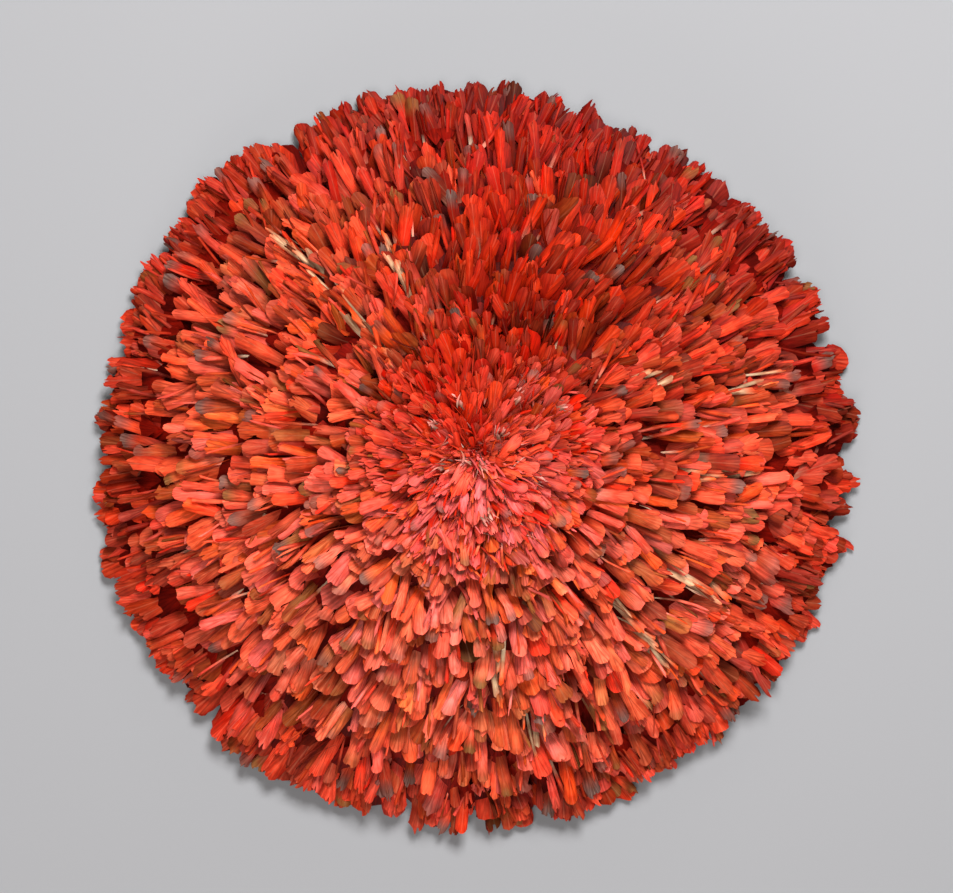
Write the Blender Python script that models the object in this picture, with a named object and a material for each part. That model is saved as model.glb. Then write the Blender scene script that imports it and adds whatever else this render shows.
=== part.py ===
"""Feather headdress: a fibre cap, a fibre brim round it like an umbrella, and feathers all over them.

Small feathers grow on the cap in a tuft and three rings. Long tail feathers are tied in bunches, one
behind another, along spokes that run from the cap to the edge of the brim and past it. Metres, +Z up.
The origin is on the surface that the headdress rests on, under its middle.
"""

import math
from collections import namedtuple

import bmesh
import bpy
from mathutils import Matrix

# Cap, a turned shell that the head goes into
HEAD_RADIUS = 0.090  # inside of the cap at its edge
CAP_WALL = 0.0025
CAP_LIFT = 0.006  # the cap's edge above the resting surface
CAP_STRAIGHT = 0.024  # straight part of its side, above the edge
CAP_DOME = 0.087  # height of the dome above the straight part, outside
CAP_SQUARENESS = 2.5  # power of the dome's curve: 2 is an ellipse, more is fuller
CAP_SIDES = 24
CAP_STEPS = 6  # facets of the dome from side to top

# Brim, a flared shell that meets the cap near its top and the surface at its edge
BRIM_RADIUS = 0.262
BRIM_WALL = 0.003  # measured upright
BRIM_RISE = 0.082  # its underside at the cap
BRIM_FOOT = 0.010  # width of the flat that it rests on
BRIM_FLARE = 1.5  # power of its curve: 1 is a plain cone
BRIM_STEPS = 3  # facets of its slope

# Feathers
FEATHER_REACH = 0.350  # mean radius of the outermost tips
CROWN_FEATHER = 0.061  # length of the tuft on top of the cap
EDGE_HEIGHT = 0.0105  # middle of the outermost tips above the surface
LEAN_POWER = 0.8  # how fast the feathers stand up from the edge to the middle
BUNCH_THICKNESS = 0.009
BUNCH_OVERHANG = 0.028  # free length of a bunch past the one under it
CORNER_SET_BACK = 0.012  # how far a bunch's corners stop short of its end
CORNER_THINNING = 0.004
SHOULDER_SHARE = 0.55  # of a bunch's half width that its blunt end keeps
SPOKE_COUNT = 48
SPOKE_GAP = 0.002  # between the feathers of neighbouring spokes
SPOKE_START = 0.010  # from the cap's seat to the innermost root on the brim
CROWN_GAP = 0.0015  # between the feathers of the crown's tiers
LOCK_SHOULDER = 0.22  # share of a lock's turn from its edge to its blunt end

SEAT_GAP = 0.0003  # between pieces that touch

# Tips of a spoke's bunches, outermost first, as shares of the reach
BUNCH_TIPS = (1.0, 0.895, 0.78, 0.655, 0.525, 0.395)

# Tiers of the crown, outermost first. Roots are shares of the cap's outer radius, tips of the reach
CrownTier = namedtuple("CrownTier", "name outer_root inner_root tip locks")
CROWN_TIERS = (
    CrownTier("crown_ring_1", 0.957, 0.860, 0.275, 18),
    CrownTier("crown_ring_2", 0.700, 0.600, 0.195, 14),
    CrownTier("crown_ring_3", 0.430, 0.340, 0.115, 10),
    CrownTier("crown_tuft", 0.190, 0.0, 0.050, 8),
)

# How far the feathers reach towards each side, as shares of the mean
Reach = namedtuple("Reach", "azimuth_deg share")
OUTLINE = (
    Reach(0, 1.005),
    Reach(15, 1.020),
    Reach(30, 0.998),
    Reach(45, 0.987),
    Reach(60, 0.965),
    Reach(75, 0.976),
    Reach(90, 0.987),
    Reach(105, 1.008),
    Reach(120, 1.000),
    Reach(135, 1.036),
    Reach(150, 1.013),
    Reach(165, 1.005),
    Reach(180, 1.013),
    Reach(195, 1.021),
    Reach(210, 1.016),
    Reach(225, 1.016),
    Reach(240, 1.010),
    Reach(255, 0.996),
    Reach(270, 0.992),
    Reach(285, 0.986),
    Reach(300, 0.982),
    Reach(315, 0.992),
    Reach(330, 0.992),
    Reach(345, 0.998),
)

# Colours of the spokes in turn, and of the rest, as linear red, green and blue
TAIL_COLOURS = (
    (0.72, 0.075, 0.035),
    (0.62, 0.050, 0.022),
    (0.78, 0.110, 0.060),
    (0.50, 0.085, 0.030),
)
CROWN_COLOUR = (0.74, 0.090, 0.070)
CAP_COLOUR = (0.42, 0.29, 0.15)
BRIM_COLOUR = (0.36, 0.24, 0.12)
FEATHER_ROUGHNESS = 0.55
FIBRE_ROUGHNESS = 0.85


def cap_outer_radius():
    return HEAD_RADIUS + CAP_WALL


def dome_base():
    return CAP_LIFT + CAP_STRAIGHT


def crown_height():
    """Top of the whole headdress."""
    return dome_base() + CAP_DOME + CROWN_FEATHER


def dome_radius(height):
    """Outer radius of the cap's dome at a height."""
    up = (height - dome_base()) / CAP_DOME
    return cap_outer_radius() * (1 - up**CAP_SQUARENESS) ** (1 / CAP_SQUARENESS)


def dome_height(radius):
    """Height of the cap's dome, outside, at a radius."""
    out = radius / cap_outer_radius()
    return dome_base() + CAP_DOME * (1 - out**CAP_SQUARENESS) ** (1 / CAP_SQUARENESS)


def brim_inner_radius():
    return dome_radius(BRIM_RISE) + SEAT_GAP


def brim_underside(radius):
    """Height of the brim's underside: a flare from the cap down to the flat foot."""
    foot = BRIM_RADIUS - BRIM_FOOT
    left = (foot - radius) / (foot - brim_inner_radius())
    return BRIM_RISE * max(left, 0.0) ** BRIM_FLARE


def brim_top(radius):
    return brim_underside(radius) + BRIM_WALL


def spoke_root_radii():
    """Radii at which both the brim's slope and the feathers' undersides have their corners."""
    start = brim_inner_radius() + SPOKE_START
    foot = BRIM_RADIUS - BRIM_FOOT
    slope = [start + (foot - start) * i / BRIM_STEPS for i in range(BRIM_STEPS + 1)]
    return slope + [BRIM_RADIUS]


def reach_towards(azimuth):
    """Share of the mean reach towards an azimuth in degrees, between the outline's rows."""
    step = 360 / len(OUTLINE)
    place = (azimuth % 360) / step
    row = int(place) % len(OUTLINE)
    after = OUTLINE[(row + 1) % len(OUTLINE)]
    return OUTLINE[row].share + (after.share - OUTLINE[row].share) * (place - int(place))


def tip_at(share, reach=1.0):
    """Tip of a feather that ends at a share of the reach, and the way that it points."""
    radius = FEATHER_REACH * share * (1 + (reach - 1) * share**2)
    out = min(radius / (FEATHER_REACH * reach), 1.0)
    height = EDGE_HEIGHT + (crown_height() - EDGE_HEIGHT) * (1 - out**2)
    lean = math.radians(90) * (1 - out) ** LEAN_POWER
    return (radius, height), (math.cos(lean), math.sin(lean))


def moved(point, direction, along, across=0.0):
    """A point of the (radius, height) plane moved along a feather, and across it towards its upper side."""
    (r, z), (dr, dz) = point, direction
    return (r + dr * along - dz * across, z + dz * along + dr * across)


def make_material(name, colour, roughness):
    material = bpy.data.materials.new(name)
    material.use_nodes = True
    shader = material.node_tree.nodes["Principled BSDF"]
    shader.inputs["Base Color"].default_value = (*colour, 1.0)
    shader.inputs["Roughness"].default_value = roughness
    shader.inputs["Metallic"].default_value = 0.0
    return material


def add_object(name, mesh, material, azimuth=0.0):
    """A mesh as an object, turned to its azimuth in degrees about the upright axis."""
    mesh.materials.append(material)
    made = bpy.data.objects.new(name, mesh)
    made.matrix_world = Matrix.Rotation(math.radians(azimuth), 4, "Z")
    bpy.context.scene.collection.objects.link(made)
    return made


def turned(name, profile, sides, material, closed=False, azimuth=0.0):
    """A profile of (radius, height), from the top down its outer side, turned about the upright axis."""
    edges = [(i, i + 1) for i in range(len(profile) - 1)]
    if closed:
        edges.append((len(profile) - 1, 0))
    mesh = bpy.data.meshes.new(name)
    mesh.from_pydata([(r, 0.0, z) for r, z in profile], edges, [])
    made = add_object(name, mesh, material, azimuth)
    screw = made.modifiers.new("turn", "SCREW")
    screw.steps = screw.render_steps = sides
    screw.use_merge_vertices = True
    screw.merge_threshold = 0.0001
    return made


def lofted(name, sections, material, azimuth=0.0, closed_round=False):
    """A solid skinned over sections of as many points each, with ends unless it closes on itself."""
    count, each = len(sections), len(sections[0])
    faces = []
    for s in range(count if closed_round else count - 1):
        here, there = s * each, (s + 1) % count * each
        for p in range(each):
            q = (p + 1) % each
            faces.append((here + p, here + q, there + q, there + p))
    if not closed_round:
        faces.append(tuple(range(each)))
        faces.append(tuple(range((count - 1) * each, count * each)))
    mesh = bpy.data.meshes.new(name)
    mesh.from_pydata([point for section in sections for point in section], [], faces)
    form = bmesh.new()
    form.from_mesh(mesh)
    bmesh.ops.remove_doubles(form, verts=form.verts, dist=0.00001)
    bmesh.ops.recalc_face_normals(form, faces=form.faces)
    form.to_mesh(mesh)
    form.free()
    return add_object(name, mesh, material, azimuth)


def dome_line(radius, base, height):
    """Points of a dome from its top to its side."""
    line = []
    for i in range(CAP_STEPS, -1, -1):
        angle = math.radians(90) * i / CAP_STEPS
        out = max(math.cos(angle), 0.0) ** (2 / CAP_SQUARENESS) if i < CAP_STEPS else 0.0
        up = math.sin(angle) ** (2 / CAP_SQUARENESS)
        line.append((radius * out, base + height * up))
    return line


def make_cap():
    """The shell that the head goes into: a dome over a straight side, open below."""
    outside = dome_line(cap_outer_radius(), dome_base(), CAP_DOME)
    inside = dome_line(HEAD_RADIUS, dome_base(), CAP_DOME - CAP_WALL)
    profile = outside + [(cap_outer_radius(), CAP_LIFT), (HEAD_RADIUS, CAP_LIFT)] + inside[::-1]
    turned("cap", profile, CAP_SIDES, make_material("knotted_fibre", CAP_COLOUR, FIBRE_ROUGHNESS))


def make_brim():
    """The flared shell that carries the spokes, with a flat of its sides under each spoke."""
    radii = [brim_inner_radius()] + spoke_root_radii()
    profile = [(r, brim_top(r)) for r in radii] + [(r, brim_underside(r)) for r in radii[::-1]]
    to_corner = 1 / math.cos(math.pi / SPOKE_COUNT)
    fibre = make_material("coiled_fibre", BRIM_COLOUR, FIBRE_ROUGHNESS)
    profile = [(r * to_corner, z) for r, z in profile]
    turned("brim", profile, SPOKE_COUNT, fibre, closed=True, azimuth=180 / SPOKE_COUNT)


def end_of(tip, way, set_back, thinning):
    """Lower and upper corner of a bunch's end, set back from its tip and thinned from above."""
    return [
        moved(tip, way, -set_back, -BUNCH_THICKNESS / 2),
        moved(tip, way, -set_back, BUNCH_THICKNESS / 2 - thinning),
    ]


def tier_seat(tier):
    """Height of the surface that a tier of the crown stands on."""
    outer = tier.outer_root * cap_outer_radius()
    seat = dome_height(tier.inner_root * cap_outer_radius())
    if outer > brim_inner_radius():
        seat = max(seat, brim_top(brim_inner_radius()))
    return seat + SEAT_GAP


def beside_tier(tier):
    """Where the feathers outside a tier of the crown meet its outer side, below its tips."""
    tip, way = tip_at(tier.tip)
    top = end_of(tip, way, 0.0, 0.0)[0]
    root = (tier.outer_root * cap_outer_radius(), tier_seat(tier))
    share = BUNCH_OVERHANG / math.dist(root, top)
    return tuple(t + (r - t) * share + g for t, r, g in zip(top, root, (CROWN_GAP, 0.0)))


def spoke_outline(reach, set_back, thinning):
    """Side view of a spoke: out along the brim to past its edge, then back over the bunches."""
    outline = [(r, brim_top(r) + SEAT_GAP) for r in spoke_root_radii()[:-1]]
    edge = BRIM_RADIUS + SEAT_GAP
    outline.append((edge, brim_top(BRIM_RADIUS) + SEAT_GAP))
    outline.append((edge, EDGE_HEIGHT - BUNCH_THICKNESS / 2))
    for i, share in enumerate(BUNCH_TIPS):
        tip, way = tip_at(share, reach)
        if i > 0:
            outline.append(moved(tip, way, -BUNCH_OVERHANG, -BUNCH_THICKNESS / 2))
        outline += end_of(tip, way, set_back, thinning)
    outline.append(beside_tier(CROWN_TIERS[0]))
    return outline


def make_spoke(number, material):
    """The feathers of one spoke, fused along it, with a blunt end on each bunch."""
    azimuth = 360 * number / SPOKE_COUNT
    reach = reach_towards(azimuth)
    corner = spoke_outline(reach, CORNER_SET_BACK, CORNER_THINNING)
    shoulder = spoke_outline(reach, 0.0, 0.0)
    slope = math.tan(math.pi / SPOKE_COUNT)
    sections = [
        [(r, side * (r * slope - SPOKE_GAP / 2), z) for r, z in outline]
        for outline, side in (
            (corner, -1),
            (shoulder, -SHOULDER_SHARE),
            (shoulder, SHOULDER_SHARE),
            (corner, 1),
        )
    ]
    lofted(f"feather_spoke_{number + 1:02d}", sections, material, azimuth)


def make_crown_tier(tier, inner_tier, material):
    """A tier of small feathers on the cap, fused below, up to the tier inside it or to the axis."""
    seat = tier_seat(tier)
    tip, way = tip_at(tier.tip)
    outer_root = (tier.outer_root * cap_outer_radius(), seat)
    inner_root = (tier.inner_root * cap_outer_radius(), seat)
    middle = beside_tier(inner_tier) if inner_tier else (0.0, crown_height())
    sections = []
    for lock in range(tier.locks):
        for turn, set_back, thinning in (
            (0.0, CORNER_SET_BACK, CORNER_THINNING),
            (LOCK_SHOULDER, 0.0, 0.0),
            (1 - LOCK_SHOULDER, 0.0, 0.0),
        ):
            angle = 2 * math.pi * (lock + turn) / tier.locks
            loop = [outer_root, *end_of(tip, way, set_back, thinning), middle, inner_root]
            sections.append([(r * math.cos(angle), r * math.sin(angle), z) for r, z in loop])
    lofted(tier.name, sections, material, closed_round=True)


def main():
    for old in list(bpy.data.objects):
        bpy.data.objects.remove(old)
    make_cap()
    make_brim()
    tail = [
        make_material(f"tail_feather_{i + 1}", colour, FEATHER_ROUGHNESS)
        for i, colour in enumerate(TAIL_COLOURS)
    ]
    for number in range(SPOKE_COUNT):
        make_spoke(number, tail[number % len(tail)])
    crown = make_material("crown_feather", CROWN_COLOUR, FEATHER_ROUGHNESS)
    for tier, inner_tier in zip(CROWN_TIERS, CROWN_TIERS[1:] + (None,)):
        make_crown_tier(tier, inner_tier, crown)


main()
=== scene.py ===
"""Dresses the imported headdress: each feather as a thin vane of its own, and the fibre cap and brim."""

from __future__ import annotations

import logging
import math
from dataclasses import dataclass, field
from enum import Enum

import bpy
import numpy as np
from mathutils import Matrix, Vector

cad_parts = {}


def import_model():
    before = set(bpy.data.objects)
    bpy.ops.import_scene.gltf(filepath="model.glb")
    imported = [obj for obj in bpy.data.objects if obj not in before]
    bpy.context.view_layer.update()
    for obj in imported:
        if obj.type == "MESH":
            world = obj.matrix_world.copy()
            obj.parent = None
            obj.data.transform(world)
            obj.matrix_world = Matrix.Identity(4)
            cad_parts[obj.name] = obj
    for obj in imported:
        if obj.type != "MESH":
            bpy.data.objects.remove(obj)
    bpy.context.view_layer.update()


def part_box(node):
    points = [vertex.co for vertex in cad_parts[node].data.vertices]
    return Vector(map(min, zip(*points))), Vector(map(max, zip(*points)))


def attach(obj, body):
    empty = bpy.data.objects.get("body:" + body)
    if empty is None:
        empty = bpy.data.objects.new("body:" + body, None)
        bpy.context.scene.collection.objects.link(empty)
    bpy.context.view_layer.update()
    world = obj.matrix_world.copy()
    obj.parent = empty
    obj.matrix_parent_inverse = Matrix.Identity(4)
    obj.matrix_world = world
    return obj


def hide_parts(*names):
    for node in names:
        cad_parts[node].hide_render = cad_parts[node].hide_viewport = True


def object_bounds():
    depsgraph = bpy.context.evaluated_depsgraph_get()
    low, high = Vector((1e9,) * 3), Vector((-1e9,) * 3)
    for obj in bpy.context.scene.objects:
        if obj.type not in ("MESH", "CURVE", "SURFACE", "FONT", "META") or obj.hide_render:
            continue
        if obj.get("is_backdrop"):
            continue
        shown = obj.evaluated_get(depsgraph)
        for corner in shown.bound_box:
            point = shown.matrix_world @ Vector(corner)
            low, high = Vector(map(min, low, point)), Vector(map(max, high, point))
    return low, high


LOG = logging.getLogger("headdress")
BODY = "root"
MM = 0.001
SEED = 20

Array = np.ndarray
Span = tuple[float, float]
Triple = tuple[float, float, float]


# Small helpers


def linear(hex_colour: str) -> Array:
    """Turns an sRGB hex colour to linear red, green and blue.

    Args:
        hex_colour: Six hex digits after a hash sign.

    Returns:
        Three linear values.
    """
    parts = np.array([int(hex_colour[i : i + 2], 16) / 255 for i in (1, 3, 5)])
    return np.where(parts <= 0.04045, parts / 12.92, ((parts + 0.055) / 1.055) ** 2.4)


def add_node(
    tree: bpy.types.NodeTree, kind: str, inputs: dict | None = None, **settings: object
) -> bpy.types.Node:
    """Adds a shader node with its settings and links.

    Args:
        tree: The node tree.
        kind: The node's type name.
        inputs: Values or output sockets, by input name or number.
        settings: Attributes of the node.

    Returns:
        The node.
    """
    node = tree.nodes.new(kind)
    for name, value in settings.items():
        setattr(node, name, value)
    for name, value in (inputs or {}).items():
        if isinstance(value, bpy.types.NodeSocket):
            tree.links.new(value, node.inputs[name])
        else:
            node.inputs[name].default_value = value
    return node


def smoothstep(low: float, high: float, value: Array | float) -> Array | float:
    """Rises smoothly from 0 at low to 1 at high."""
    share = np.clip((value - low) / (high - low), 0.0, 1.0)
    return share * share * (3 - 2 * share)


def unit(vector: Array) -> Array:
    """A vector's direction."""
    return vector / np.linalg.norm(vector)


def new_material(name: str) -> tuple[bpy.types.Material, bpy.types.NodeTree]:
    """Makes a material without nodes.

    Args:
        name: The material's name.

    Returns:
        The material and its empty node tree.
    """
    material = bpy.data.materials.new(name)
    material.use_nodes = True
    material.node_tree.nodes.clear()
    return material, material.node_tree


def add_object(name: str, data: bpy.types.ID) -> bpy.types.Object:
    """Adds an object to the scene.

    Args:
        name: The object's name.
        data: Its mesh, light or camera.

    Returns:
        The object.
    """
    made = bpy.data.objects.new(name, data)
    bpy.context.scene.collection.objects.link(made)
    return made


def dress(
    mesh: bpy.types.Mesh, spots: Array, values: dict[str, Array], material: bpy.types.Material
) -> bpy.types.Object:
    """Gives a mesh its values, map and finish, and adds it to the scene.

    Args:
        mesh: The mesh.
        spots: Place of each face corner in the map.
        values: What the finish needs at each point, by attribute name.
        material: The finish.

    Returns:
        The object.
    """
    for name, value in values.items():
        mesh.attributes.new(name, "FLOAT", "POINT").data.foreach_set("value", value.astype(np.float32))
    mesh.uv_layers.new(name="OFBake").data.foreach_set("uv", spots.astype(np.float32).ravel())
    mesh.materials.append(material)
    mesh.shade_smooth()
    return add_object(mesh.name, mesh)


# Finishes


@dataclass(frozen=True)
class Marking:
    """A darker marking that noise draws on a vane, coming in between two values of the noise."""

    stretch: Triple  # waves to a lock's width, to a lock's length and from feather to feather
    detail: float
    starts: float
    full: float
    strength: float
    tint: Triple

    def lay(
        self, tree: bpy.types.NodeTree, place: bpy.types.NodeSocket, under: bpy.types.NodeSocket
    ) -> bpy.types.NodeSocket:
        """Lays the marking over a colour.

        Args:
            tree: The finish's node tree.
            place: Where a point lies among the locks of barbs.
            under: The colour so far.

        Returns:
            The marked colour.
        """
        drawn = add_node(tree, "ShaderNodeVectorMath", {0: place, 1: self.stretch}, operation="MULTIPLY")
        waves = {"Vector": drawn.outputs[0], "Scale": 1.0, "Detail": self.detail}
        value = add_node(tree, "ShaderNodeTexNoise", waves).outputs["Fac"]
        limits = {"From Min": self.starts, "From Max": self.full, "To Max": self.strength}
        share = add_node(tree, "ShaderNodeMapRange", {"Value": value, **limits}).outputs[0]
        darker = add_node(tree, "ShaderNodeVectorMath", {0: under, 1: self.tint}, operation="MULTIPLY")
        mixed = {0: share, 6: under, 7: darker.outputs[0]}
        return add_node(tree, "ShaderNodeMix", mixed, data_type="RGBA").outputs[2]


@dataclass(frozen=True)
class FeatherFinish:
    """Keratin vane of a parrot's tail feather, as grown: fine barbs, soft sheen, light that passes through."""

    name: str
    barb_mm: float = 1.6  # locks of barbs; single barbs are 0.4 mm apart, too fine to show
    run_mm: float = 16.0  # how far a lock keeps its tone
    roughness: float = 0.52
    sheen: float = 0.01
    glow: float = 0.48  # share of the light that goes through, which comes out a deeper red
    passed: float = 1.22
    quill: str = "#F7C9A0"
    blotches: Marking = Marking((0.35, 1.3, 1.0), 2.0, 0.44, 0.66, 0.75, (0.80, 0.42, 0.32))
    gaps: Marking = Marking((1.25, 0.28, 1.7), 1.0, 0.55, 0.68, 0.55, (0.46, 0.24, 0.20))

    def make(self) -> bpy.types.Material:
        """Builds the material: the vane's points bring the colour, the nodes add barbs and the quill's line.

        Returns:
            The material.
        """
        material, tree = new_material(self.name)
        names = ("plume_colour", "barb_mm", "run_mm", "across", "chance")
        given = {name: add_node(tree, "ShaderNodeAttribute", attribute_name=name).outputs for name in names}
        # Locks of barbs leave the quill at a slant, so their tone follows the slanted lengths
        scales = {"barb_mm": 1 / self.barb_mm, "run_mm": 1 / self.run_mm}
        lane, run = (
            add_node(tree, "ShaderNodeMath", {0: given[name]["Fac"], 1: by}, operation="MULTIPLY").outputs[0]
            for name, by in scales.items()
        )
        among = {"X": lane, "Y": run, "Z": given["chance"]["Fac"]}
        place = add_node(tree, "ShaderNodeCombineXYZ", among).outputs[0]
        waves = {"Vector": place, "Scale": 1.0, "Detail": 3.0, "Roughness": 0.6}
        locks = add_node(tree, "ShaderNodeTexNoise", waves).outputs["Fac"]
        limits = {"From Min": 0.32, "From Max": 0.68, "To Min": 0.66, "To Max": 1.2}
        tone = add_node(tree, "ShaderNodeMapRange", {"Value": locks, **limits}).outputs[0]
        body = {0: given["plume_colour"]["Color"], "Scale": tone}
        colour = add_node(tree, "ShaderNodeVectorMath", body, operation="SCALE").outputs[0]
        # Uneven blotches of deeper red, a few to a feather, then long, thin shadows where the barbs part
        for marking in (self.blotches, self.gaps):
            colour = marking.lay(tree, place, colour)
        aside = {0: given["across"]["Fac"]}
        middle = add_node(tree, "ShaderNodeMath", aside, operation="ABSOLUTE").outputs[0]
        limits = {"From Min": 0.02, "From Max": 0.09, "To Min": 0.06, "To Max": 0.0}
        line = add_node(tree, "ShaderNodeMapRange", {"Value": middle, **limits}).outputs[0]
        lined = {0: line, 6: colour, 7: (*linear(self.quill), 1.0)}
        colour = add_node(tree, "ShaderNodeMix", lined, data_type="RGBA").outputs[2]
        deep = add_node(tree, "ShaderNodeGamma", {"Color": colour, "Gamma": 1.7}).outputs[0]
        passed = add_node(tree, "ShaderNodeVectorMath", {0: deep, "Scale": self.passed}, operation="SCALE")
        relief = {"Height": locks, "Strength": 0.4, "Distance": 0.6 * MM}
        normal = add_node(tree, "ShaderNodeBump", relief).outputs[0]
        look = {
            "Base Color": colour,
            "Roughness": self.roughness,
            "Sheen Weight": self.sheen,
            "Sheen Roughness": 0.4,
            "Specular IOR Level": 0.06,
            "Normal": normal,
        }
        shell = add_node(tree, "ShaderNodeBsdfPrincipled", look).outputs[0]
        light = {"Color": passed.outputs[0], "Normal": normal}
        through = add_node(tree, "ShaderNodeBsdfTranslucent", light).outputs[0]
        both = add_node(tree, "ShaderNodeMixShader", {0: self.glow, 1: shell, 2: through}).outputs[0]
        add_node(tree, "ShaderNodeOutputMaterial", {"Surface": both})
        return material


@dataclass(frozen=True)
class FibreFinish:
    """Dry palm fibre, wound or knotted by hand: straw brown and matt, with fine strands and painted shade in
    hollows.
    """

    name: str
    light: str
    dark: str
    strand_mm: float = 0.7  # bundles of fibres; single ones are 0.2 mm thick, too fine to show
    patches_a_metre: float = 38.0  # of older and newer fibre, about 26 mm each
    roughness: float = 0.8

    def make(self) -> bpy.types.Material:
        """Builds the material, with strands that wind round the rope.

        Returns:
            The material.
        """
        material, tree = new_material(self.name)
        length, turn = (
            add_node(tree, "ShaderNodeAttribute", attribute_name=name).outputs["Fac"]
            for name in ("rope_mm", "rope_turn")
        )
        strand = add_node(tree, "ShaderNodeMath", {0: length, 1: 1 / self.strand_mm}, operation="MULTIPLY")
        place = add_node(tree, "ShaderNodeCombineXYZ", {"X": strand.outputs[0], "Y": turn}).outputs[0]
        waves = {"Vector": place, "Scale": 1.0, "Detail": 3.0, "Roughness": 0.6}
        strands = add_node(tree, "ShaderNodeTexNoise", waves).outputs["Fac"]
        spot = add_node(tree, "ShaderNodeTexCoord").outputs["Object"]
        broad = {"Vector": spot, "Scale": self.patches_a_metre, "Detail": 3.0}
        patches = add_node(tree, "ShaderNodeTexNoise", broad).outputs["Fac"]
        # Darker in the hollows between strands, as painted shade, and in patches of older fibre
        both = add_node(tree, "ShaderNodeMath", {0: strands, 1: patches}, operation="ADD").outputs[0]
        tone = add_node(tree, "ShaderNodeMapRange", {"Value": both, "From Min": 0.68, "From Max": 1.28})
        colours = {0: tone.outputs[0], 6: (*linear(self.dark), 1.0), 7: (*linear(self.light), 1.0)}
        colour = add_node(tree, "ShaderNodeMix", colours, data_type="RGBA").outputs[2]
        relief = {"Height": strands, "Strength": 0.8, "Distance": 0.5 * MM}
        look = {
            "Base Color": colour,
            "Roughness": self.roughness,
            "Specular IOR Level": 0.3,
            "Normal": add_node(tree, "ShaderNodeBump", relief).outputs[0],
        }
        shell = add_node(tree, "ShaderNodeBsdfPrincipled", look).outputs[0]
        add_node(tree, "ShaderNodeOutputMaterial", {"Surface": shell})
        return material


# Feathers


class TipShape(Enum):
    """Ways in which a vane ends: how square it is, and how ragged in millimetres."""

    ROUNDED = (2.2, 1.3, 0.4)
    BLUNT = (3.6, 0.8, 0.9)
    FRAYED = (3.2, 0.9, 2.5)

    @property
    def squareness(self) -> float:
        """Power of the rounding curve."""
        return self.value[0]

    @property
    def depth(self) -> float:
        """Length of the rounding, in half widths."""
        return self.value[1]

    @property
    def rag_mm(self) -> float:
        """Spread of the ragged ends."""
        return self.value[2]


class Hue(Enum):
    """Body colours of the feathers."""

    CORAL = "#F46748"
    SCARLET = "#E82E0E"
    PINK = "#F47068"
    ORANGE = "#F36428"
    RUST = "#BC4E1E"
    OLIVE = "#8C5A28"


CREAM = linear("#F4E2C4")
# Dark red painted as the shade where vanes lie under other feathers: quill ends and lower vanes
PAINTED_SHADE_RED = linear("#861104")
DUSKS = (linear("#6C5650"), linear("#80592F"))  # slate and olive brown, on the tips of some
DOWN = linear("#D9BFB4")
BRIGHTEST = 0.93  # linear; no feather is paler


@dataclass(frozen=True)
class PaintedShading:
    """Painted light and shade on the body colours round the headdress: paler in front, a deep red shade to one
    side.
    """

    # front is painted light; side and deep are painted shade
    front: Triple
    side: Triple
    deep: Triple
    deepest: float  # azimuth in degrees
    spread: Span  # degrees before and after it

    def depth(self, azimuth: float) -> float:
        """How deep the painted shade is towards an azimuth in degrees: 0 to 1."""
        apart = (azimuth - self.deepest + 180) % 360 - 180
        return math.exp(-((apart / self.spread[int(apart > 0)]) ** 2))

    def at(self, azimuth: float) -> Array:
        """Works out the multiplier of painted light and shade towards one side.

        Args:
            azimuth: Direction from the middle, in degrees.

        Returns:
            Factors of red, green and blue.
        """
        front, side, deep = (np.array(part) for part in (self.front, self.side, self.deep))
        shade = side + max(-math.sin(math.radians(azimuth)), 0.0) * (front - side)
        return shade + self.depth(azimuth) * (deep - shade)


# Painted light and shade for the tail and crown feathers: paler in front, a deep red shade towards +Y
TAIL_PAINTED_SHADE = PaintedShading((1.16, 1.24, 1.30), (0.98, 0.84, 0.70), (0.66, 0.155, 0.03), 78.0, (65.0, 44.0))
CROWN_PAINTED_SHADE = PaintedShading((0.97, 0.97, 1.16), (0.88, 0.70, 0.64), (0.66, 0.19, 0.07), 112.0, (60.0, 70.0))


@dataclass(frozen=True)
class VaneGrid:
    """How finely one feather is meshed: stations up to the tip's rounding, stations on it, and across."""

    body: tuple[float, ...]
    tip: tuple[float, ...]
    across: tuple[float, ...]

    @property
    def stations(self) -> int:
        """Number of sections."""
        return len(self.body) + len(self.tip)

    @property
    def ring(self) -> int:
        """Points round one section: its upper side, and its under side without the shared edges."""
        return 2 * len(self.across) - 2

    def faces(self) -> tuple[list, list]:
        """Faces of the sides and both ends of one vane, with each corner's place in the feather's own map.

        Returns:
            Corner numbers of each face, and (u, v) for each corner.
        """
        count, ring, top = self.stations, self.ring, len(self.across)
        faces, places = [], []
        for s in range(count - 1):
            for p in range(ring):
                q = (p + 1) % ring
                faces.append((s * ring + p, s * ring + q, (s + 1) * ring + q, (s + 1) * ring + p))
                u0, u1, v0, v1 = p / ring, (p + 1) / ring, s / count, (s + 1) / count
                places.append(((u0, v0), (u1, v0), (u1, v1), (u0, v1)))
        v0, v1 = (count - 1) / count, 1.0
        for s, first, u0 in ((0, True, 0.0), (count - 1, False, 0.5)):
            for p in range(top - 1):
                upper = (s * ring + p, s * ring + p + 1)
                under = (s * ring + (ring - p - 1), s * ring + (ring - p) % ring)
                loop = tuple(dict.fromkeys((*upper, *under)))
                wide = 0.5 / (top - 1)
                left, right = u0 + p * wide, u0 + (p + 1) * wide
                spots = ((left, v0), (right, v0), (right, v1), (left, v1))[: len(loop)]
                faces.append(loop[::-1] if first else loop)
                places.append(spots[::-1] if first else spots)
        return faces, places


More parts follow.
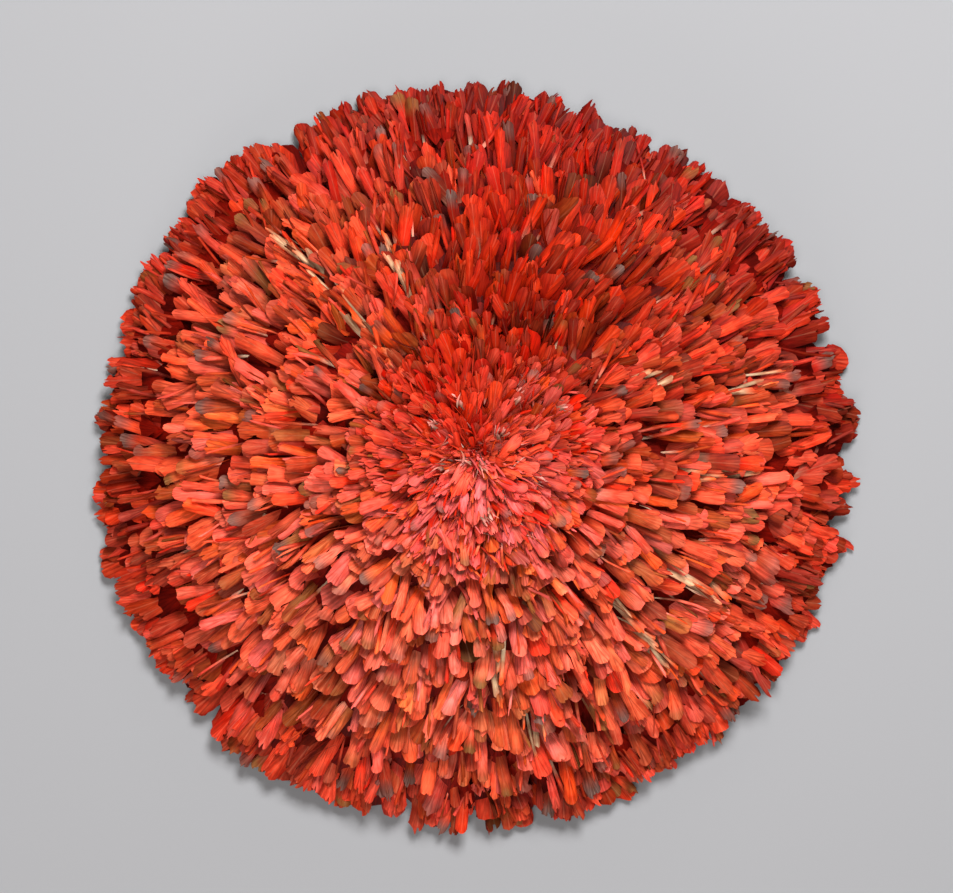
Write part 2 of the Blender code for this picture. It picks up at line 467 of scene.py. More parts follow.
FINE_VANE = VaneGrid(
    body=(0.0, 0.10, 0.24, 0.40, 0.56, 0.72, 0.86),
    tip=(0.0, 0.42, 0.74, 0.92, 0.99),
    across=(-1.0, -0.68, -0.34, 0.0, 0.34, 0.68, 1.0),
)
SMALL_VANE = VaneGrid(
    body=(0.0, 0.14, 0.32, 0.54, 0.78),
    tip=(0.0, 0.5, 0.85, 0.99),
    across=(-1.0, -0.5, 0.0, 0.5, 1.0),
)
THIN_VANE = VaneGrid(body=(0.0, 0.3, 0.6, 0.85), tip=(0.0, 0.6, 0.99), across=(-1.0, 0.0, 1.0))
WIDTH_ALONG = (
    (0.0, 0.05), (0.08, 0.07), (0.18, 0.24), (0.30, 0.62),
    (0.44, 0.86), (0.58, 0.95), (0.72, 1.0), (1.0, 1.0),
)  # shares of the half width, from the quill's end to where the tip's rounding starts
SLANT = (0.13, 0.99)  # sine and cosine of the angle between the quill and the locks of barbs, 7.5 degrees
EDGE_THICK = 0.05 * MM
QUILL_THICK = 0.34 * MM
CLEARANCE = 1.5 * MM  # from a feather down to the cap and the brim


@dataclass
class Feather:
    """One feather: where its tip is, how it lies, its sizes and its colours."""

    tip: Array
    way: Array
    up: Array
    length: float
    half_width: float
    hue: Array
    shape: TipShape = TipShape.BLUNT
    grid: VaneGrid = FINE_VANE
    bend: float = 0.25
    sway: float = 0.0
    arch: float = 0.22
    twist: float = 0.0
    lopsided: float = 0.0
    dusk: float = 0.0
    tip_hue: Array | None = None
    turn_at: float = 0.7
    # Colour at the quill's end: pale, or dark red painted shade where it lies under other feathers
    base: Array = field(default_factory=lambda: CREAM)
    base_share: float = 0.34
    has_quill: bool = True
    chance: float = 0.5

    def build(self, form: Form, random: np.random.Generator) -> dict[str, Array]:
        """Works out the vane's points and what the finish needs at each.

        Args:
            form: The cap and brim, which the feather stays clear of.
            random: Source of the frays and splits.

        Returns:
            Points, colours and the values that the barbs are drawn from.
        """
        across = np.array(self.grid.across)
        top = len(across)
        along, wide = self._outline(across, random)
        behind = self.length * (1 - along)
        curl = self.bend / self.length
        turn = curl * behind
        side = unit(np.cross(self.up, self.way))
        line = (
            self.tip
            - (np.sin(turn) / curl)[..., None] * self.way
            - ((1 - np.cos(turn)) / curl)[..., None] * self.up
            - (self.sway * behind**2 / self.length)[..., None] * side
        )
        lift = np.cos(turn)[..., None] * self.up - np.sin(turn)[..., None] * self.way
        roll = (self.twist * behind / self.length)[..., None]
        out = np.cos(roll) * side + np.sin(roll) * lift
        rise = np.cos(roll) * lift - np.sin(roll) * side
        relative = wide / self.half_width
        wave = np.sin(along * random.uniform(6, 13) + random.uniform(0, 6)) * relative
        height = self.half_width * (-self.arch * np.abs(relative) ** 1.5 + 0.06 * wave)
        upper = line + out * wide[..., None] + rise * height[..., None]
        thick = (QUILL_THICK * (1 - np.abs(across)))[None, :, None] + EDGE_THICK
        under = upper - rise * thick
        points = np.concatenate([upper, under[:, -2:0:-1]], axis=1)
        order = np.concatenate([np.arange(top), np.arange(top - 2, 0, -1)])
        flat = points.reshape(-1, 3)
        short = form.seat(np.hypot(flat[:, 0], flat[:, 1])) + CLEARANCE - flat[:, 2]
        flat[:, 2] += max(0.0, float(short.max()))
        distance = along[:, order] * self.length / MM
        aside = np.abs(wide[:, order] / MM)
        return {
            "points": flat,
            "colours": self._colours(along[:, order], relative[:, order]).reshape(-1, 3),
            "across": relative[:, order].reshape(-1) if self.has_quill else np.ones(len(flat)),
            "barb_mm": (SLANT[0] * distance - SLANT[1] * aside).reshape(-1),
            "run_mm": (SLANT[1] * distance + SLANT[0] * aside).reshape(-1),
            "chance": np.full(flat.shape[0], self.chance * 60),
        }

    def _outline(self, across: Array, random: np.random.Generator) -> tuple[Array, Array]:
        """Draws the outline of the upper side.

        Args:
            across: Places across the vane, from -1 to 1.
            random: Source of the frays and splits.

        Returns:
            Shares of the length and distances from the quill, of every point.
        """
        body, tip = np.array(self.grid.body), np.array(self.grid.tip)
        turned = min(self.shape.depth * self.half_width / self.length, 0.4)
        along = np.concatenate([body, 1 - turned + turned * tip])
        along[: len(body)] *= 1 - turned
        width = np.interp(body, *zip(*WIDTH_ALONG))
        power = self.shape.squareness
        width = np.concatenate([width, (1 - tip**power) ** (1 / power)])
        wide = self.half_width * width[:, None] * across[None, :] * (1 + self.lopsided * np.sign(across))
        along = np.repeat(along[:, None], len(across), axis=1)
        rag = self.shape.rag_mm * MM / self.length
        ragged = random.normal(0, 1, len(across))
        for row, share in ((-1, 1.0), (-2, 0.9), (-3, 0.55), (-4, 0.2)):
            along[row] += rag * share * ragged
        wide[:, (0, -1)] *= 1 + random.normal(0, 0.06, (len(wide), 2))
        for _ in range(int(random.integers(0, 3)) if len(across) > 3 else 0):
            row = len(body) + int(random.integers(-3, 1))
            edge, inner = (0, 1) if random.random() < 0.5 else (-1, -2)
            wide[row, edge] = wide[row, inner] * random.uniform(0.7, 1.1)
        return along, wide

    def _colours(self, along: Array, relative: Array) -> Array:
        """Colours the quill's end (pale or painted shade), the body, the tip in its own tint, a dusky tip on
        some, and edge shade.

        Args:
            along: Shares of the length.
            relative: Distances from the quill, in half widths.

        Returns:
            Linear red, green and blue of each point.
        """
        end = self.hue if self.tip_hue is None else self.tip_hue
        turned = smoothstep(self.turn_at - 0.16, self.turn_at + 0.16, along + 0.08 * relative)[..., None]
        # The quill's end takes the base colour: pale, or painted shade
        pale = (1 - smoothstep(0.45 * self.base_share, 1.3 * self.base_share, along))[..., None]
        colour = (self.hue * (1 - turned) + end * turned) * (1 - pale) + self.base * pale
        dark = self.dusk * smoothstep(0.83, 0.97, along + 0.03 * np.abs(relative))
        colour = colour * (1 - dark)[..., None] + DUSKS[self.chance > 0.6] * dark[..., None]
        # Painted shade: the edges darker and redder, where neighbouring vanes overlap
        edge = smoothstep(0.5, 1.0, np.abs(relative))[..., None]
        return colour * (1 - edge * np.array((0.36, 0.58, 0.62)))


def thin_lock(
    tip: Array,
    way: Array,
    up: Array,
    length: float,
    half_width: float,
    random: np.random.Generator,
    **looks: object,
) -> Feather:
    """A narrow or a lower vane with a frayed end, coarsely meshed.

    Args:
        tip: Where it ends.
        way: Where it points.
        up: Its upper side's direction.
        length: Its length.
        half_width: Half its width.
        random: Source of its chance, which is drawn last.
        looks: The feather's other values.

    Returns:
        The feather.
    """
    looks |= {"shape": TipShape.FRAYED, "grid": THIN_VANE, "chance": random.random()}
    return Feather(tip, way, up, length, half_width, **looks)


def feather_piece(
    name: str, feathers: list[Feather], form: Form, material: bpy.types.Material, seed: int
) -> bpy.types.Object:
    """Joins feathers into one mesh object, each a closed vane with a cell of its own in the map.

    Args:
        name: The piece's name.
        feathers: What it is made of.
        form: The cap and brim under them.
        material: Their finish.
        seed: Start of the frays and splits.

    Returns:
        The object, linked to the scene.
    """
    random = np.random.default_rng(seed)
    cells = math.ceil(math.sqrt(len(feathers)))
    margin = 0.03  # of a cell, on each side
    made: dict[str, list[Array]] = {}
    corners: list[int] = []
    sizes: list[int] = []
    spots: list[Array] = []
    first = 0
    for number, feather in enumerate(feathers):
        for key, value in feather.build(form, random).items():
            made.setdefault(key, []).append(value)
        cell = np.array((number % cells, number // cells), float)
        for face, places in zip(*feather.grid.faces()):
            corners.extend(first + corner for corner in face)
            sizes.append(len(face))
            spots.append((cell + margin + (1 - 2 * margin) * np.array(places)) / cells)
        first += len(made["points"][-1])
    values = {key: np.concatenate(parts) for key, parts in made.items()}
    mesh = bpy.data.meshes.new(name)
    mesh.vertices.add(first)
    mesh.vertices.foreach_set("co", values.pop("points").astype(np.float32).ravel())
    mesh.loops.add(len(corners))
    mesh.loops.foreach_set("vertex_index", np.array(corners, np.int32))
    mesh.polygons.add(len(sizes))
    mesh.polygons.foreach_set("loop_start", np.concatenate([[0], np.cumsum(sizes)[:-1]]).astype(np.int32))
    mesh.update(calc_edges=True)
    mesh.validate()
    shade = np.c_[values.pop("colours"), np.ones(first)].astype(np.float32)
    mesh.attributes.new("plume_colour", "FLOAT_COLOR", "POINT").data.foreach_set("color", shade.ravel())
    piece = dress(mesh, np.concatenate(spots), values, material)
    mesh.set_sharp_from_angle(angle=math.radians(60))
    return piece


# The dome of tips


@dataclass(frozen=True)
class Form:
    """Heights of the cap and the brim that carry the feathers, with their sizes read from the frame."""

    cap_radius: float
    cap_top: float
    brim_radius: float
    brim_top: float
    brim_start: float = 0.0816
    cap_rise: float = 0.087
    cap_squareness: float = 2.5
    brim_foot: float = 0.010
    brim_flare: float = 1.5
    brim_wall: float = 0.003

    @classmethod
    def read(cls) -> Form:
        """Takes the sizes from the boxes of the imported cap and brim."""
        cap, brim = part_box("cap")[1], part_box("brim")[1]
        return cls(cap_radius=cap.x, cap_top=cap.z, brim_radius=brim.x, brim_top=brim.z)

    def cap_height(self, radius: Array | float) -> Array:
        """Height of the cap's outer side at a radius."""
        inside = np.clip(1 - (np.asarray(radius) / self.cap_radius) ** self.cap_squareness, 0, 1)
        return self.cap_top - self.cap_rise + self.cap_rise * inside ** (1 / self.cap_squareness)

    def brim_height(self, radius: Array | float) -> Array:
        """Height of the brim's upper side at a radius."""
        outer = self.brim_radius - self.brim_foot
        share = np.clip((outer - np.asarray(radius)) / (outer - self.brim_start), 0, 1)
        return self.brim_wall + (self.brim_top - self.brim_wall) * share**self.brim_flare

    def seat(self, radius: Array) -> Array:
        """Finds whichever surface lies under the feathers: cap, brim or the resting plane.

        Args:
            radius: Distances from the middle.

        Returns:
            Its heights there.
        """
        on_brim = np.where(radius < self.brim_radius, self.brim_height(radius), 0.0)
        on_cap = np.where(radius < self.cap_radius, self.cap_height(np.minimum(radius, self.cap_radius)), 0.0)
        return np.maximum(on_brim, on_cap)


@dataclass(frozen=True)
class Dome:
    """The domed surface that the feathers' tips make, and how they lie along it."""

    reach: float
    crown_height: float
    edge_height: float = 0.0105
    lean_deg: float = 26.0
    droop_deg: float = 16.0
    lean_power: float = 0.8
    outline: tuple[float, ...] = (
        1.005, 1.020, 0.998, 0.987, 0.965, 0.976, 0.987, 1.008, 1.000, 1.036, 1.013, 1.005,
        1.013, 1.021, 1.016, 1.016, 1.010, 0.996, 0.992, 0.986, 0.982, 0.992, 0.992, 0.998,
    )  # share of the reach towards each side, every 15 degrees
    notches: tuple[Span, ...] = (
        (1, 0.95), (10, 0.96), (18.3, 0.91), (30, 0.91), (45.5, 0.95), (60, 0.96),
        (75, 0.965), (120.5, 0.905), (164, 0.95), (224, 0.92), (254.3, 0.95), (259, 0.91),
        (269.6, 0.94), (279, 0.95), (335, 0.96), (350, 0.965),
    )  # azimuths and shares of the reach where the edge is set back

    def towards(self, azimuth: float) -> float:
        """Finds how far the outline reaches towards one side.

        Args:
            azimuth: Direction from the middle, in degrees.

        Returns:
            Share of the mean reach.
        """
        steps = len(self.outline)
        share = float(
            np.interp((azimuth % 360) * steps / 360, range(steps + 1), (*self.outline, self.outline[0]))
        )
        for place, depth in self.notches:
            apart = abs((azimuth - place + 180) % 360 - 180)
            share *= 1 - (1 - depth) * float(1 - smoothstep(0.9, 1.8, apart))
        return share

    def slope(self, share: float) -> float:
        """How steeply the dome falls at a share of the reach, in radians."""
        return math.atan(2 * (self.crown_height - self.edge_height) * share / self.reach)

    def place(self, share: float, azimuth: float) -> tuple[Array, Array, Array]:
        """A tip on the dome.

        Args:
            share: Its share of the reach.
            azimuth: Its direction from the middle, in degrees.

        Returns:
            The tip, the way that the feather points, and its upper side's direction.
        """
        stretch = 1 + (self.towards(azimuth) - 1) * share**4
        radius = self.reach * share * stretch
        height = self.edge_height + (self.crown_height - self.edge_height) * (1 - min(share, 1.0) ** 2)
        flat = self.lean_deg * max(1 - share, 0.0) ** self.lean_power
        droop = self.droop_deg * float(smoothstep(0.35, 1.0, share))
        lean = math.radians(flat - droop)
        angle = math.radians(azimuth)
        outward = np.array((math.cos(angle), math.sin(angle), 0.0))
        upward = np.array((0.0, 0.0, 1.0))
        way = math.cos(lean) * outward + math.sin(lean) * upward
        over = math.cos(lean) * upward - math.sin(lean) * outward
        return radius * outward + height * upward, way, over


def tossed(
    way: Array, up: Array, mean: Triple, spread: Triple, random: np.random.Generator
) -> tuple[Array, Array]:
    """Turns a feather about its own axes, at random.

    Args:
        way: Where it points.
        up: Its upper side's direction.
        mean: Mean turns in radians: nose up, to its side and about its quill.
        spread: Their spreads; nothing is drawn for a spread of 0.
        random: Source of the turns.

    Returns:
        Where it then points, and its upper side's direction.
    """
    pitch, yaw, roll = (m + (random.normal(0, s) if s else 0.0) for m, s in zip(mean, spread))
    side = unit(np.cross(up, way))
    way, up = way * math.cos(pitch) + up * math.sin(pitch), up * math.cos(pitch) - way * math.sin(pitch)
    way, side = way * math.cos(yaw) + side * math.sin(yaw), side * math.cos(yaw) - way * math.sin(yaw)
    up = up * math.cos(roll) + side * math.sin(roll)
    return unit(way), unit(up)


class Drift:
    """A slow, seeded wander over the dome, from -1 to 1, that neighbouring feathers share."""

    def __init__(self, seed: int, span: float) -> None:
        """Draws the waves.

        Args:
            seed: Start of the draw.
            span: Length of the mean wave, in metres.
        """
        random = np.random.default_rng(seed)
        turn = random.uniform(0, 2 * math.pi, 7)
        length = span * random.uniform(0.6, 1.6, 7)
        self.waves = 2 * math.pi * np.stack([np.cos(turn), np.sin(turn)], axis=1) / length[:, None]
        self.phases = random.uniform(0, 2 * math.pi, 7)

    def at(self, radius: float, azimuth: float) -> float:
        """Reads the wander at a place.

        Args:
            radius: Distance from the middle.
            azimuth: Direction from the middle, in degrees.

        Returns:
            Its value there.
        """
        angle = math.radians(azimuth)
        place = np.array((radius * math.cos(angle), radius * math.sin(angle)))
        return float(np.sin(self.waves @ place + self.phases).sum() / 2.6)


@dataclass(frozen=True)
class Parting:
    """A line along which the feathers lie away to both sides, so that their pale bases show."""

    azimuth: float
    inner: float
    outer: float
    half_angle: float = 5.0

    def pull(self, azimuth: float, radius: float) -> float:
        """Finds how strongly a feather is pushed aside.

        Args:
            azimuth: Its direction from the middle, in degrees.
            radius: Its tip's distance from the middle.

        Returns:
            0 to 1, with the side as its sign.
        """
        apart = (azimuth - self.azimuth + 180) % 360 - 180
        if not self.inner < radius < self.outer or abs(apart) > self.half_angle:
            return 0.0
        return math.copysign(1 - abs(apart) / self.half_angle, apart)


@dataclass(frozen=True)
class Plumage:
    """Tail feathers along the spokes: tied bunches one behind another, of several feathers side by side."""

    dome: Dome
    spokes: int = 48
    row_step: float = 0.030  # from one bunch's tips to the next, in plan
    inner_radius: float = 0.094
    pitch: float = 0.0128  # from feather to feather across a bunch
    half_width: float = 0.0071
    length_edge: float = 0.092
    length_crown: float = 0.074
    deep_drop: Span = (0.005, 0.010)
    under_pitch: float = 0.020
    under_back: float = 0.012  # how far the lower vanes end behind a bunch's tips
    under_drop: Span = (0.024, 0.029)
    under_length: float = 0.062
    under_half_width: Span = (0.012, 0.015)
    quill_step: float = 0.010
    quill_length: Span = (0.045, 0.062)
    quill_half_width: Span = (0.0010, 0.0034)
    splinter_half_width: Span = (0.0009, 0.0024)
    lift: Drift = Drift(SEED + 301, 0.085)
    yaw: Drift = Drift(SEED + 302, 0.110)
    tone: Drift = Drift(SEED + 303, 0.048)
    partings: tuple[Parting, ...] = (
        Parting(131.5, 0.105, 0.285),
        Parting(112.0, 0.165, 0.220, 2.5),
        Parting(313.5, 0.185, 0.285, 5.0),
        Parting(330.5, 0.205, 0.270, 3.5),
        Parting(356.3, 0.195, 0.260, 3.0),
        Parting(14.5, 0.245, 0.290, 2.5),
        Parting(24.0, 0.160, 0.220, 3.0),
        Parting(275.5, 0.175, 0.230, 2.5),
        Parting(282.0, 0.240, 0.280, 2.5),
    )

    def spoke(self, number: int) -> list[Feather]:
        """All feathers of one spoke.

        Args:
            number: The spoke, from 0, counted from the +X axis towards +Y.

        Returns:
            Its feathers, outermost first.
        """
        random = np.random.default_rng(SEED + number)
        wide = 360 / self.spokes
        azimuth = wide * number
        feathers = []
        radius = self.dome.reach * random.uniform(0.985, 1.0)
        row = 0
        while radius > self.inner_radius:
            close = 1.3 if row == 0 else 1.0
            fitting = close * math.radians(wide) * radius / self.pitch
            count = max(1, round(fitting + random.uniform(-0.4, 0.4)))
            sway = random.normal(0, 0.08)
            for place in range(count):
                offset = (place + 0.5) / count - 0.5 + random.normal(0, 0.30) / count
                loose = random.normal(0, 0.008 if row == 0 else 0.32 * self.row_step)
                ends = radius - abs(loose) if row == 0 else radius + loose
                feathers += self._pair(ends, azimuth + wide * offset, sway, row, random)
            feathers += self._under(radius - self.under_back, azimuth, random)
            closer = 0.66 + 0.34 * float(smoothstep(0.30, 0.60, radius / self.dome.reach))
            radius -= self.row_step * random.uniform(0.85, 1.12) * (0.72 if row == 0 else closer)
            row += 1
        for parting in self.partings:
            if abs((parting.azimuth - azimuth + 180) % 360 - 180) <= wide / 2:
                feathers += self._bare_quills(parting, random)
        return feathers

    def _under(self, radius: float, azimuth: float, random: np.random.Generator) -> list[Feather]:
        """Broad lower vanes, dark red as painted shade, that lie along the dome's slope and close it from
        below.

        Args:
            radius: Distance of their tips from the middle.
            azimuth: The spoke's direction, in degrees.
            random: Source of the draws.

        Returns:
            The vanes under one bunch.
        """
        share, wide = radius / self.dome.reach, 360 / self.spokes
        count = math.ceil(math.radians(wide) * radius / self.under_pitch)
        vanes = []
        for place in range(count):
            aside = math.degrees(random.normal(0, 0.002) / radius)
            tip, way, up = self.dome.place(share, azimuth + wide * ((place + 0.5) / count - 0.5) + aside)
            lean = math.asin(way[2]) + self.dome.slope(share) * random.uniform(0.75, 0.95)
            way, up = tossed(way, up, (-lean, 0.0, 0.0), (0.0, 0.08, 0.12), random)
            drop = min(random.uniform(*self.under_drop), 0.55 * tip[2])
            vane = thin_lock(
                tip - np.array((0, 0, drop)),
                way,
                up,
                self.under_length,
                random.uniform(*self.under_half_width),
                random,
                # Painted shade: dark red, at random darker still
                hue=PAINTED_SHADE_RED * random.uniform(0.3, 0.9),
                bend=0.05,
                arch=0.15,
                has_quill=False,
                base=PAINTED_SHADE_RED,
            )
            vanes.append(vane)
        return vanes

    def _bare_quills(self, parting: Parting, random: np.random.Generator) -> list[Feather]:
        """Pale quills and thin lower vanes that lie open along a parting.

        Args:
            parting: The parting.
            random: Source of the draws.

        Returns:
            The quills, innermost first.
        """
        quills = []
        for radius in np.arange(parting.inner + self.quill_step, parting.outer, self.quill_step):
            azimuth = parting.azimuth + math.degrees(random.normal(0, 0.0045) / radius)
            tip, way, up = self.dome.place(radius / self.dome.reach, azimuth)
            way, up = tossed(way, up, (0.0, 0.0, 0.0), (0.04, 0.10, 0.4), random)
            quill = thin_lock(
                tip - up * random.uniform(-0.001, 0.003),
                way,
                up,
                random.uniform(*self.quill_length),
                random.uniform(*self.quill_half_width),
                random,
                hue=CREAM * random.uniform(0.5, 0.85) * np.array((1.0, 0.84, 0.7)),
                bend=random.uniform(0.05, 0.3),
                sway=random.normal(0, 0.06),
                tip_hue=linear(Hue.ORANGE.value),
                turn_at=random.uniform(0.75, 1.1),
                base_share=0.4,
            )
            quills.append(quill)
        return quills

    def _pair(
        self, radius: float, azimuth: float, sway: float, row: int, random: np.random.Generator
    ) -> list[Feather]:
        """A feather, the one that lies deeper beside it, and what has split off them.

        Args:
            radius: Distance of its tip from the middle.
            azimuth: Its direction from the middle, in degrees.
            sway: How far its bunch leans to its side, in radians.
            row: Its bunch, from 0, outermost first.
            random: Source of the draws.

        Returns:
            The feathers.
        """
        share = min(radius / self.dome.reach, 1.0)
        towards_back = math.sin(math.radians(azimuth))
        pull = sum(parting.pull(azimuth, radius) for parting in self.partings)
        lift = 0.0040 * self.lift.at(radius, azimuth)
        sway += 0.10 * self.yaw.at(radius, azimuth)
        pair = []
        for deep in (False, True):
            if not deep and pull and random.random() < 0.12:
                continue
            aside = random.normal(0, 0.007) if deep else 0.0
            back = random.uniform(-0.006, 0.012) if deep else 0.0
            turned = azimuth + math.degrees(aside / radius) + pull
            tip, way, up = self.dome.place(share - back / self.dome.reach, turned)
            if deep:
                tip = tip - up * random.uniform(*self.deep_drop) * (0.5 if row == 0 else 1.0)
            else:
                tip = tip + up * (lift + random.normal(0, 0.003))
            edge_on = random.random() < 0.08
            spread = (0.05, 0.13 + 0.05 * towards_back, 0.8 if edge_on else 0.22)
            way, up = tossed(way, up, (0.0, sway - 0.16 * pull, 0.0), spread, random)
            pair.append(self._feather(tip, way, up, share, azimuth, deep, pull, random))
        for _ in range(int(random.poisson(0.6 + 0.8 * max(towards_back, 0.0)))):
            pair.append(self._splinter(radius, azimuth, sway, random))
        return pair

    def _splinter(self, radius: float, azimuth: float, sway: float, random: np.random.Generator) -> Feather:
        """A narrow lock that has split off a vane and lies over its neighbours.

        Args:
            radius: Distance of its tip from the middle.
            azimuth: Its direction from the middle, in degrees.
            sway: How far its bunch leans to its side, in radians.
            random: Source of the draws.

        Returns:
            The lock.
        """
        share = min(radius / self.dome.reach, 1.0)
        turned = azimuth + math.degrees(random.normal(0, 0.006) / radius)
        tip, way, up = self.dome.place(share - random.uniform(0.0, 0.05), turned)
        way, up = tossed(way, up, (0.0, sway, 0.0), (0.05, 0.18, 0.5), random)
        hue = self._hue(share, azimuth % 360, random)
        return thin_lock(
            tip + up * random.uniform(-0.001, 0.003),
            way,
            up,
            self.length_crown * random.uniform(0.6, 0.9),
            random.uniform(*self.splinter_half_width),
            random,
            hue=hue,
            bend=random.uniform(0.2, 0.7),
            sway=random.normal(0, 0.1),
            twist=random.normal(0, 0.4),
            tip_hue=self._hue(share, azimuth % 360, random),
            # Quill end pale, or dark red painted shade under the other feathers
            base=CREAM if random.random() < 0.25 else PAINTED_SHADE_RED,
            base_share=random.uniform(0.35, 0.55),
        )

    def _hue(self, share: float, azimuth: float, random: np.random.Generator) -> Array:
        """Draws a body colour: browner on one side, darker and more varied in the painted shade, pinker near
        the crown.

        Args:
            share: The tip's share of the reach.
            azimuth: Its direction from the middle, in degrees.
            random: Source of the draws.

        Returns:
            Linear red, green and blue.
        """
        # Painted shade: where it is deep, red hues are likelier, tones darker and more spread, some at half
        # tone
        top = TAIL_PAINTED_SHADE.depth(azimuth)
        browner = math.exp(-(((azimuth - 58) / 30) ** 2))
        browner *= float(smoothstep(0.3, 0.45, share)) * (share < 0.85)
        odds = np.array((
            0.36,
            0.08 + 0.18 * top,
            0.22 + 0.20 * (share < 0.5),
            0.11 + 0.09 * top,
            0.15 + 0.35 * browner,
            0.08 + 0.30 * browner,
        ))
        hue = list(Hue)[int(random.choice(len(odds), p=odds / odds.sum()))]
        mean = linear(Hue.CORAL.value)
        body = mean + random.uniform(0.6, 1.0) * (linear(hue.value) - mean)
        wander = self.tone.at(share * self.dome.reach, azimuth)
        tone = random.uniform(0.66 - 0.22 * top, 1.26 + 0.10 * top) + 0.22 * wander
        tone *= 0.5 if random.random() < 0.06 + 0.14 * top else 1.0
        at_edge = float(smoothstep(0.75, 1.0, share))
        # Painted light and shade round the headdress, on most feathers
        shade = TAIL_PAINTED_SHADE.at(azimuth if random.random() < 0.95 else 0.0)
        body = body * tone * shade * (1 - at_edge * np.array((0.38, 0.64, 0.70)))
        return np.clip(body, 0, BRIGHTEST)

    def _feather(
        self,
        tip: Array,
        way: Array,
        up: Array,
        share: float,
        azimuth: float,
        deep: bool,
        pull: float,
        random: np.random.Generator,
    ) -> Feather:
        """One feather with its sizes, shape and colours drawn.

        Args:
            tip: Where it ends.
            way: Where it points.
            up: Its upper side's direction.
            share: The tip's share of the reach.
            azimuth: Its direction from the middle, in degrees.
            deep: Whether it is the one below, painted darker as shade.
            pull: How strongly a parting pushes it aside.
            random: Source of the draws.

        Returns:
            The feather.
        """
        top = float(smoothstep(-0.3, 0.7, math.sin(math.radians(azimuth))))
        frayed = 0.75 if share > 0.9 else 0.16 + 0.46 * top
        shape = list(TipShape)[int(random.choice(3, p=(0.55 * (1 - frayed), 0.45 * (1 - frayed), frayed)))]
        length = self.length_crown + (self.length_edge - self.length_crown) * share
        at_edge = float(smoothstep(0.75, 1.0, share))
        inward = 0.78 + 0.22 * float(smoothstep(0.35, 0.6, share))
        shows_pale = not deep and (pull or random.random() < 0.17)
        hue = self._hue(share, azimuth % 360, random)
        wider = 1.45 if deep else inward * (1 - 0.16 * top)
        return Feather(
            tip=tip,
            way=way,
            up=up,
            length=length * random.uniform(0.92, 1.06),
            half_width=self.half_width * random.uniform(0.62, 1.2) * wider,
            # Painted shade: most lower feathers darker and redder
            hue=hue * (np.array((0.42, 0.16, 0.12)) if deep and random.random() < 0.85 else 1.0),
            shape=shape,
            grid=SMALL_VANE if deep else FINE_VANE,
            bend=random.uniform(0.30, 0.75) * (1 - 0.6 * at_edge),
            sway=random.normal(0, 0.06),
            arch=random.uniform(0.04, 0.24),
            twist=random.normal(0, 0.2),
            lopsided=random.uniform(-0.2, 0.2),
            dusk=random.uniform(*((0.5, 0.95) if random.random() < 0.17 and not deep else (0, 0.12))),
            tip_hue=0.45 * hue + 0.55 * self._hue(share, azimuth % 360, random),
            turn_at=random.uniform(0.55, 0.95),
            # Quill end pale where a parting shows it, else dark red painted shade
            base=0.65 * CREAM + 0.35 * hue if shows_pale else PAINTED_SHADE_RED,
            base_share=random.uniform(0.46, 0.64 if shows_pale else 0.66),
            chance=random.random(),
        )


@dataclass(frozen=True)
class CrownTier:
    """A tier of small feathers on the cap, between two radii of their tips."""

    name: str
    inner: float
    outer: float


